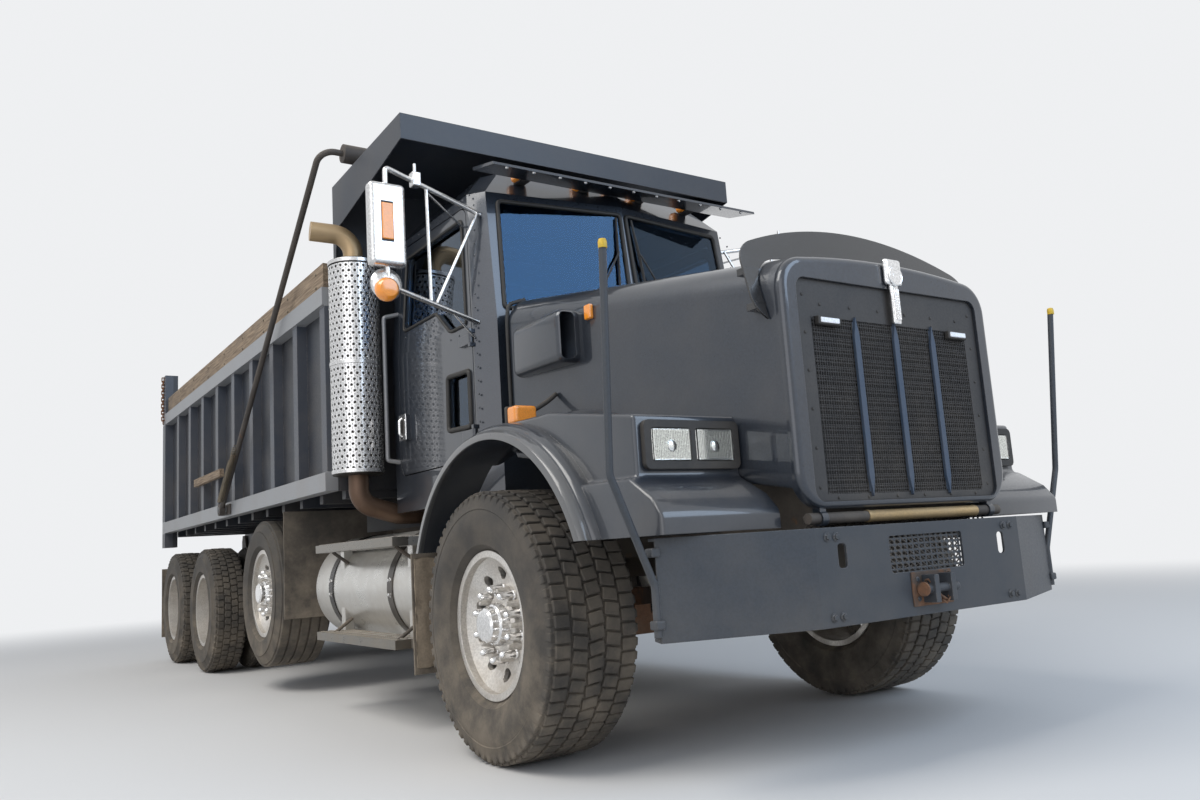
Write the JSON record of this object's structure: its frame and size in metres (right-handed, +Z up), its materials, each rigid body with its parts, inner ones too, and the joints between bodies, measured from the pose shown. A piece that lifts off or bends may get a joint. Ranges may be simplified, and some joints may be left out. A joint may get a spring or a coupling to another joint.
{
  "type": "dump truck",
  "caption": "Heavy conventional dump truck with tilting hood, raised lift axle, twin-tyred tandem, tipping steel bed with hung tailgate, cab protector and tarp bail.",
  "frame": {"origin": "on the ground, at the middle of the truck's overall length and width", "axes": "+Z up, -Y to the front of the truck, +X to its left side"},
  "size_m": [2.95, 8.506, 3.318],
  "materials": {
    "truck_paint": "dark grey-blue metallic gloss, dusty",
    "bed_paint": "dark paint, worn and dusty",
    "frame_paint": "black with rust and road dirt",
    "engine_iron": "rough",
    "bumper_steel": "matt grey",
    "polished_aluminium": "polished",
    "shield_steel": "perforated stainless",
    "tyre_rubber": "dusty rubber",
    "flap_rubber": "mud-caked rubber",
    "window_glass": "clear",
    "board_wood": "weathered boards",
    "dark_trim": "matt black",
    "deflector_plastic": "smoked",
    "lamp_lens": "clear lens in a black bezel",
    "amber_lens": "amber lens",
    "seat_fabric": "dark cloth",
    "rod_chrome": "hard chrome"
  },
  "bodies": {
    "chassis": {"frame": "frame_paint", "front_bumper": "bumper_steel", "front_axle": "frame_paint", "engine_block": "engine_iron", "drive_axles": "frame_paint", "lift_axle": "frame_paint", "fuel_tanks": "polished_aluminium", "exhaust_stack": "shield_steel", "mud_flaps": "flap_rubber", "cab_shell": "truck_paint", "cab_glass": "window_glass", "dashboard": "dark_trim", "seats": "seat_fabric", "roof_lamps": "amber_lens", "mirrors": "dark_trim"},
    "hood": {"hood_shell": "truck_paint", "fenders": "truck_paint", "grille": "dark_trim", "headlamps": "lamp_lens", "bug_deflector": "deflector_plastic"},
    "door_right": {"door_right": "truck_paint", "door_glass_right": "window_glass"},
    "door_left": {"door_left": "truck_paint", "door_glass_left": "window_glass"},
    "bed": {"bed_floor": "bed_paint", "bed_sides": "bed_paint", "headboard": "bed_paint", "sideboards": "board_wood"},
    "gate": {"tailgate": "bed_paint"},
    "bail": {"tarp_bail": "polished_aluminium"},
    "hoist_outer": {"hoist_barrel": "frame_paint"},
    "hoist_inner": {"hoist_rod": "rod_chrome"},
    "knuckle_right": {"knuckle_right": "frame_paint"},
    "knuckle_left": {"knuckle_left": "frame_paint"},
    "tie_rod": {"tie_rod": "frame_paint"},
    "steer_hub_right": {"steer_tyre_right": "tyre_rubber", "steer_wheel_right": "polished_aluminium"},
    "lift_hub_right": {"lift_tyre_right": "tyre_rubber", "lift_wheel_right": "polished_aluminium"},
    "drive_hub_1_right": {"drive_tyres_1_right": "tyre_rubber", "drive_wheels_1_right": "polished_aluminium"},
    "drive_hub_2_right": {"drive_tyres_2_right": "tyre_rubber", "drive_wheels_2_right": "polished_aluminium"},
    "steer_hub_left": {"steer_tyre_left": "tyre_rubber", "steer_wheel_left": "polished_aluminium"},
    "lift_hub_left": {"lift_tyre_left": "tyre_rubber", "lift_wheel_left": "polished_aluminium"},
    "drive_hub_1_left": {"drive_tyres_1_left": "tyre_rubber", "drive_wheels_1_left": "polished_aluminium"},
    "drive_hub_2_left": {"drive_tyres_2_left": "tyre_rubber", "drive_wheels_2_left": "polished_aluminium"}
  },
  "joints": [
    {"name": "hood_tilt", "type": "hinge", "parent": "chassis", "child": "hood", "pos_m": [0, -4.131, 0.884], "axis": [1, 0, 0], "range_deg": [0, 65]},
    {"name": "door_right_swing", "type": "hinge", "parent": "chassis", "child": "door_right", "pos_m": [-0.905, -2.334, 1.5], "axis": [0, 0, 1], "range_deg": [0, 65]},
    {"name": "door_left_swing", "type": "hinge", "parent": "chassis", "child": "door_left", "pos_m": [0.905, -2.334, 1.5], "axis": [0, 0, -1], "range_deg": [0, 65]},
    {"name": "bed_tip", "type": "hinge", "parent": "chassis", "child": "bed", "pos_m": [0, 4.021, 1.135], "axis": [-1, 0, 0], "range_deg": [0, 45]},
    {"name": "gate_swing", "type": "hinge", "parent": "bed", "child": "gate", "pos_m": [0, 4.083, 2.58], "axis": [1, 0, 0], "range_deg": [0, 90]},
    {"name": "bail_swing", "type": "hinge", "parent": "bed", "child": "bail", "pos_m": [0, 1.317, 1.31], "axis": [-1, 0, 0], "range_deg": [0, 100]},
    {"name": "hoist_swing", "type": "hinge", "parent": "chassis", "child": "hoist_outer", "pos_m": [0, 1.651, 0.84], "axis": [-1, 0, 0], "range_deg": [0, 71.02]},
    {"name": "hoist_extend", "type": "slide", "parent": "hoist_outer", "child": "hoist_inner", "axis": [0, -0.983, 0.1836], "range_m": [0, 1.5022]},
    {"name": "steer_right", "type": "hinge", "parent": "chassis", "child": "knuckle_right", "pos_m": [-0.8, -2.909, 0.549], "axis": [0, 0, 1], "range_deg": [-32, 32]},
    {"name": "steer_left", "type": "hinge", "parent": "chassis", "child": "knuckle_left", "pos_m": [0.8, -2.909, 0.549], "axis": [0, 0, 1], "range_deg": [-32, 32]},
    {"name": "tie_slide", "type": "slide", "parent": "chassis", "child": "tie_rod", "axis": [1, 0, 0], "range_m": [-0.1065, 0.1065]},
    {"name": "steer_spin_right", "type": "hinge", "parent": "knuckle_right", "child": "steer_hub_right", "pos_m": [-1.002, -2.909, 0.549], "axis": [1, 0, 0], "continuous": true},
    {"name": "lift_spin_right", "type": "hinge", "parent": "chassis", "child": "lift_hub_right", "pos_m": [-1.02, 0.502, 0.667], "axis": [1, 0, 0], "continuous": true},
    {"name": "drive_spin_1_right", "type": "hinge", "parent": "chassis", "child": "drive_hub_1_right", "pos_m": [-0.913, 2.353, 0.52], "axis": [1, 0, 0], "continuous": true},
    {"name": "drive_spin_2_right", "type": "hinge", "parent": "chassis", "child": "drive_hub_2_right", "pos_m": [-0.913, 3.653, 0.52], "axis": [1, 0, 0], "continuous": true},
    {"name": "steer_spin_left", "type": "hinge", "parent": "knuckle_left", "child": "steer_hub_left", "pos_m": [1.002, -2.909, 0.549], "axis": [1, 0, 0], "continuous": true},
    {"name": "lift_spin_left", "type": "hinge", "parent": "chassis", "child": "lift_hub_left", "pos_m": [1.02, 0.502, 0.667], "axis": [1, 0, 0], "continuous": true},
    {"name": "drive_spin_1_left", "type": "hinge", "parent": "chassis", "child": "drive_hub_1_left", "pos_m": [0.913, 2.353, 0.52], "axis": [1, 0, 0], "continuous": true},
    {"name": "drive_spin_2_left", "type": "hinge", "parent": "chassis", "child": "drive_hub_2_left", "pos_m": [0.913, 3.653, 0.52], "axis": [1, 0, 0], "continuous": true}
  ],
  "couplings": [
    {"joint": "hoist_swing", "follows": "bed_tip", "ratio": 1.577},
    {"joint": "hoist_extend", "follows": "bed_tip", "m_per_rad": 1.9114},
    {"joint": "steer_left", "follows": "steer_right", "ratio": 1},
    {"joint": "tie_slide", "follows": "steer_right", "m_per_rad": -0.18976}
  ]
}
